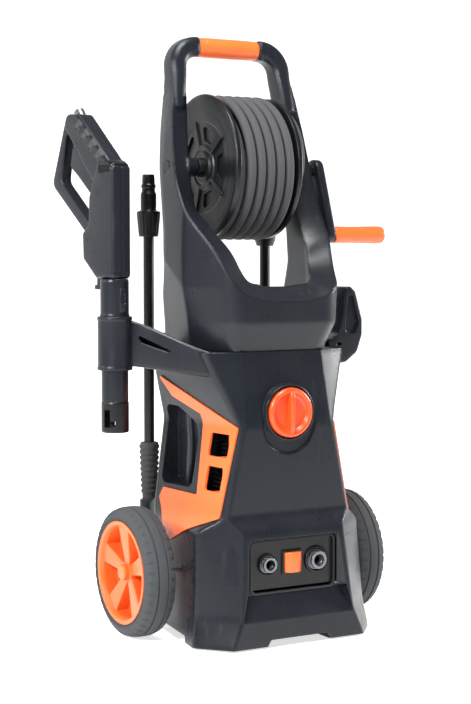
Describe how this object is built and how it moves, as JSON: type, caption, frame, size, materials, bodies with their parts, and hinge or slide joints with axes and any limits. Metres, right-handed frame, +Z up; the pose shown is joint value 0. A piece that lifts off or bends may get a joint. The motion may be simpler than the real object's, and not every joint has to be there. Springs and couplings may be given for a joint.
{
  "type": "pressure washer",
  "caption": "Upright wheeled pressure washer with moulded covers, hose reel and crank in a carrying frame, holstered spray gun, spray lances and front water connectors.",
  "frame": {"origin": "floor level, under the middle of the machine's footprint", "axes": "+X to the machine's right (its crank side), +Y to its back, +Z up"},
  "size_m": [0.4814, 0.3218, 0.88],
  "materials": {
    "body_plastic": "fine moulded grain, satin",
    "black_plastic": "fine moulded grain",
    "orange_plastic": "smooth, semi-gloss",
    "tyre_rubber": "moulded rubber",
    "soft_rubber": "soft rubber",
    "hose_rubber": "smooth hose jacket",
    "steel": "ground",
    "zinc_steel": "bright zinc plate",
    "brass": "machined",
    "alloy": "cast",
    "winding": "varnished copper and laminations"
  },
  "bodies": {
    "chassis": {"base_tray": "black_plastic", "front_cover": "body_plastic", "rear_cover": "body_plastic", "side_panel_left": "orange_plastic", "side_panel_right": "orange_plastic", "handle_frame": "body_plastic", "handle_grip": "orange_plastic", "port_panel": "black_plastic", "inlet_fitting": "zinc_steel", "outlet_fitting": "alloy", "switch_box": "black_plastic", "rubber_feet": "soft_rubber", "gun_holster": "body_plastic", "cable_hook": "body_plastic", "lance_rack": "body_plastic", "axle": "steel", "motor_housing": "alloy", "stator": "winding", "gear_case": "alloy", "pump_block": "alloy", "pressure_switch": "black_plastic", "cable_gland": "soft_rubber", "cover_screws": "zinc_steel", "piston_spring_1": "steel", "piston_spring_2": "steel", "piston_spring_3": "steel"},
    "left_wheel": {"tyre_left": "tyre_rubber", "rim_left": "orange_plastic"},
    "right_wheel": {"tyre_right": "tyre_rubber", "rim_right": "orange_plastic"},
    "reel": {"reel_drum": "black_plastic", "reel_flange_left": "black_plastic", "reel_flange_right": "black_plastic", "wound_hose": "hose_rubber", "hose_end_fitting": "brass", "crank_arm": "body_plastic"},
    "crank_handle": {"crank_knob": "orange_plastic"},
    "switch_dial": {"switch_knob": "orange_plastic"},
    "release": {"release_button": "orange_plastic"},
    "gun": {"gun_shell_left": "body_plastic", "gun_shell_right": "body_plastic", "gun_valve": "brass", "gun_barrel": "body_plastic", "gun_inlet": "zinc_steel", "gun_collar": "black_plastic"},
    "trigger": {"gun_trigger": "body_plastic"},
    "lock": {"trigger_lock": "black_plastic"},
    "vario_lance": {"vario_tube": "black_plastic", "vario_grip": "black_plastic"},
    "vario_tip": {"vario_nozzle": "black_plastic"},
    "turbo_lance": {"turbo_tube": "black_plastic", "turbo_grip": "black_plastic", "turbo_nozzle": "black_plastic"},
    "motor_rotor": {"rotor": "steel", "pinion": "steel"},
    "swash": {"reduction_gear": "steel", "wobble_plate": "steel"},
    "piston_a": {"piston_1": "steel"},
    "piston_b": {"piston_2": "steel"},
    "piston_c": {"piston_3": "steel"}
  },
  "joints": [
    {"name": "left_wheel_spin", "type": "hinge", "parent": "chassis", "child": "left_wheel", "pos_m": [-0.18, 0.009, 0.095], "axis": [1, 0, 0], "continuous": true},
    {"name": "right_wheel_spin", "type": "hinge", "parent": "chassis", "child": "right_wheel", "pos_m": [0.18, 0.009, 0.095], "axis": [1, 0, 0], "continuous": true},
    {"name": "reel_spin", "type": "hinge", "parent": "chassis", "child": "reel", "pos_m": [0, 0.024, 0.685], "axis": [1, 0, 0], "continuous": true},
    {"name": "crank_knob_spin", "type": "hinge", "parent": "reel", "child": "crank_handle", "pos_m": [0.19, -0.01399, 0.58604], "axis": [1, 0, 0], "continuous": true},
    {"name": "switch_turn", "type": "hinge", "parent": "chassis", "child": "switch_dial", "pos_m": [0, -0.132, 0.331], "axis": [0, -1, 0], "range_deg": [0, 90]},
    {"name": "outlet_release_press", "type": "slide", "parent": "chassis", "child": "release", "axis": [0, 1, 0], "range_m": [0, 0.005], "stiffness_N_per_m": 300, "springref_m": -0.001},
    {"name": "gun_lift", "type": "slide", "parent": "chassis", "child": "gun", "axis": [0, 0, 1], "range_m": [0, 0.17]},
    {"name": "trigger_squeeze", "type": "hinge", "parent": "gun", "child": "trigger", "pos_m": [-0.21473, 0.04267, 0.656], "axis": [0.9903, 0.1392, 0], "range_deg": [0, 9], "stiffness_Nm_per_rad": 1.5, "springref_deg": -2.86},
    {"name": "trigger_lock_slide", "type": "slide", "parent": "gun", "child": "lock", "axis": [0, 0, -1], "range_m": [0, 0.004]},
    {"name": "vario_lance_lift", "type": "slide", "parent": "chassis", "child": "vario_lance", "axis": [0, 0, 1], "range_m": [0, 0.06]},
    {"name": "vario_nozzle_twist", "type": "hinge", "parent": "vario_lance", "child": "vario_tip", "pos_m": [-0.103, 0.111, 0.63], "axis": [0, 0, 1], "range_deg": [0, 120]},
    {"name": "turbo_lance_lift", "type": "slide", "parent": "chassis", "child": "turbo_lance", "axis": [0, 0, 1], "range_m": [0, 0.06]},
    {"name": "rotor_spin", "type": "hinge", "parent": "chassis", "child": "motor_rotor", "pos_m": [0, -0.001, 0.25], "axis": [0, 0, 1], "continuous": true},
    {"name": "swash_spin", "type": "hinge", "parent": "chassis", "child": "swash", "pos_m": [0, -0.055, 0.17], "axis": [0, 0, 1], "continuous": true},
    {"name": "piston_a_stroke", "type": "slide", "parent": "chassis", "child": "piston_a", "axis": [0, 0, -1], "range_m": [0, 0.008], "stiffness_N_per_m": 400, "springref_m": -0.002, "deforming": ["piston_spring_1"]},
    {"name": "piston_b_stroke", "type": "slide", "parent": "chassis", "child": "piston_b", "axis": [0, 0, -1], "range_m": [0, 0.008], "stiffness_N_per_m": 400, "springref_m": -0.002, "deforming": ["piston_spring_2"]},
    {"name": "piston_c_stroke", "type": "slide", "parent": "chassis", "child": "piston_c", "axis": [0, 0, -1], "range_m": [0, 0.008], "stiffness_N_per_m": 400, "springref_m": -0.002, "deforming": ["piston_spring_3"]}
  ],
  "couplings": [
    {"joint": "swash_spin", "follows": "rotor_spin", "ratio": -0.2}
  ]
}
